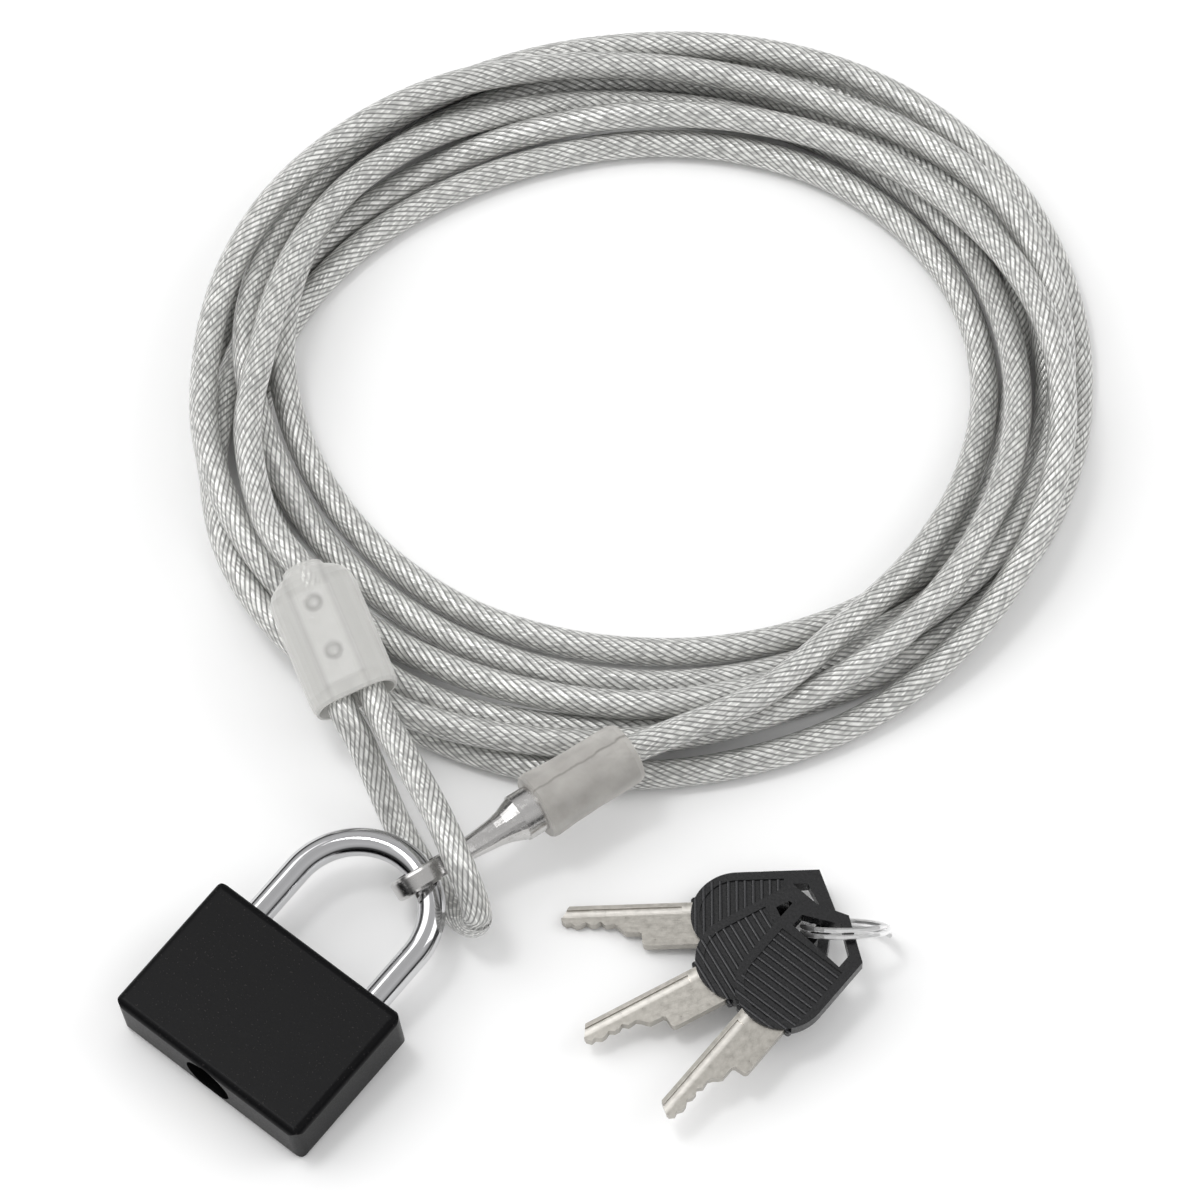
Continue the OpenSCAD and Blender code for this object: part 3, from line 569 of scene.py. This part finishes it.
# The ribs' steps start here. Half a rib is 0.214 of a step, and the field between the
# rims is this far to either side of the head's middle.
RIB_FROM, RIB_STEP, RIB_HALF_SHARE = 0.0042, 0.0014, 0.214
FIELD_HALF = 0.0063
for number, (place, turn) in enumerate(zip(KEY_PLACES, KEY_TURNS), 1):
    # Blade: long draw lines, handling marks, and a painted highlight along the milled groove
    # near its back.
    blade, n, l, shader = new_material("nickel_silver_%d" % number, (0.6, 0.57, 0.52), 0.38, 1.0)
    own = own_frame(n, l, place, turn)
    lines = noise(n, l, stretched(n, l, own, (0.12, 1, 1)), 3000)
    marks = noise(n, l, own, 900, Detail=8, Roughness=0.75)
    # Painted highlight: a band along the milled groove is made lighter than the rest of the
    # blade.
    groove_highlight = band(n, l, split(n, l, own)[1], GROOVE_Y, GROOVE_HALF)
    marks_and_groove_highlight = math_node(n, l, "ADD", math_node(n, l, "MULTIPLY", marks, 0.6),
                     math_node(n, l, "MULTIPLY", groove_highlight, 0.7))
    tint(n, l, marks_and_groove_highlight, (0.27, 0.255, 0.225), (0.84, 0.81, 0.76), shader.inputs["Base Color"])
    spread(n, l, marks, 0.26, 0.44, shader.inputs["Roughness"])
    bump_from(n, l, math_node(n, l, "ADD", lines, marks), shader, 0.00002)
    dress(blade, "key_%d_blade" % number)

    # Head: each rib's crest is rounded, h = sqrt(1 - (x / half rib)^2), and catches the light;
    # its colour is also lifted towards the crest as a painted highlight.
    plastic, n, l, shader = new_material(
        "black_moulded_plastic_%d" % number, (0.006, 0.006, 0.007), 0.3)
    own = own_frame(n, l, place, turn)
    axes = split(n, l, own)
    along = math_node(n, l, "DIVIDE", math_node(n, l, "SUBTRACT", axes[0], RIB_FROM), RIB_STEP)
    from_rib = math_node(n, l, "SUBTRACT", math_node(n, l, "FRACT", along), 0.5)
    side = math_node(n, l, "DIVIDE", from_rib, RIB_HALF_SHARE)
    rest = math_node(n, l, "SUBTRACT", 1.0, math_node(n, l, "MULTIPLY", side, side))
    crest = math_node(n, l, "SQRT", math_node(n, l, "MAXIMUM", rest, 0.0))
    inside = math_node(n, l, "LESS_THAN", math_node(n, l, "ABSOLUTE", axes[1]), FIELD_HALF)
    field = math_node(n, l, "MULTIPLY", inside,
                      math_node(n, l, "GREATER_THAN", axes[0], RIB_FROM))
    crest = math_node(n, l, "MULTIPLY", crest, field)
    grit = noise(n, l, own, 2200)
    spread(n, l, grit, 0.24, 0.36, shader.inputs["Roughness"])
    # Painted highlight: the colour is lighter on each rib's crest.
    tint(n, l, math_node(n, l, "POWER", crest, 3.0), (0.005, 0.005, 0.006), (0.03, 0.03, 0.033),
         shader.inputs["Base Color"])
    height = math_node(n, l, "ADD", crest, math_node(n, l, "MULTIPLY", grit, 0.12))
    bump_from(n, l, height, shader, 0.0002)
    dress(plastic, "key_%d_head" % number)


# ---------------------------------------------------------------------------
# Stage: a pale floor that keeps the object's shadow. It is nearly white to the camera,
# in reflections and through clear plastic, and a plain light grey to all other light.
bpy.ops.mesh.primitive_plane_add(size=6, location=(0, 0, -0.0001))
floor = bpy.context.object
floor.name = "floor"
paper, n, l, shader = new_material("pale_floor", (0.8, 0.8, 0.8), 0.9)
shader.inputs["Specular IOR Level"].default_value = 0.0
ray = n.new("ShaderNodeLightPath")
seen = math_node(n, l, "ADD", ray.outputs["Is Camera Ray"], ray.outputs["Is Glossy Ray"])
tint(n, l, math_node(n, l, "ADD", seen, ray.outputs["Is Transmission Ray"]), (0.8, 0.8, 0.8),
     (0.96, 0.96, 0.96), shader.inputs["Base Color"])
floor.data.materials.append(paper)


# ---------------------------------------------------------------------------
# Light: a wide softbox over the left, a small one for the sparks in the metal, one
# on the right, and an even surround. Metal reflects a room with a dark low band.
def softbox(name, place, aim_at, size, watts):
    """Square area light of that size, turned to face a point."""
    data = bpy.data.lights.new(name, "AREA")
    data.shape = "SQUARE"
    data.size = size
    data.energy = watts
    lamp = bpy.data.objects.new(name, data)
    bpy.context.scene.collection.objects.link(lamp)
    lamp.location = place
    lamp.rotation_euler = (Vector(aim_at) - Vector(place)).to_track_quat("-Z", "Y").to_euler()


softbox("key_light", (-1.15, -0.35, 1.35), (-0.02, 0.06, 0), 1.3, 8)
softbox("spark", (-0.4, -0.15, 1.5), (0.02, 0.04, 0), 0.32, 4)
softbox("right_light", (1.0, 1.1, 1.2), (-0.02, 0.06, 0), 1.0, 5)
world = bpy.data.worlds.new("surround")
bpy.context.scene.world = world
world.use_nodes = True
n, l = world.node_tree.nodes, world.node_tree.links
even = n["Background"]
even.inputs[0].default_value = (1, 1, 1, 1)
even.inputs[1].default_value = 0.76
room = n.new("ShaderNodeBackground")
room.inputs[1].default_value = 0.95
height = split(n, l, n.new("ShaderNodeTexCoord").outputs["Generated"])[2]
walls = ((0.0, 0.3), (0.06, 0.05), (0.24, 0.06), (0.4, 0.5), (0.7, 0.7), (1.0, 0.6))
l.new(grey_ramp(n, l, height, walls), room.inputs[0])
choice = n.new("ShaderNodeMixShader")
l.new(n.new("ShaderNodeLightPath").outputs["Is Glossy Ray"], choice.inputs[0])
l.new(even.outputs[0], choice.inputs[1])
l.new(room.outputs[0], choice.inputs[2])
l.new(choice.outputs[0], n["World Output"].inputs[0])
bpy.context.scene.view_settings.view_transform = "Standard"
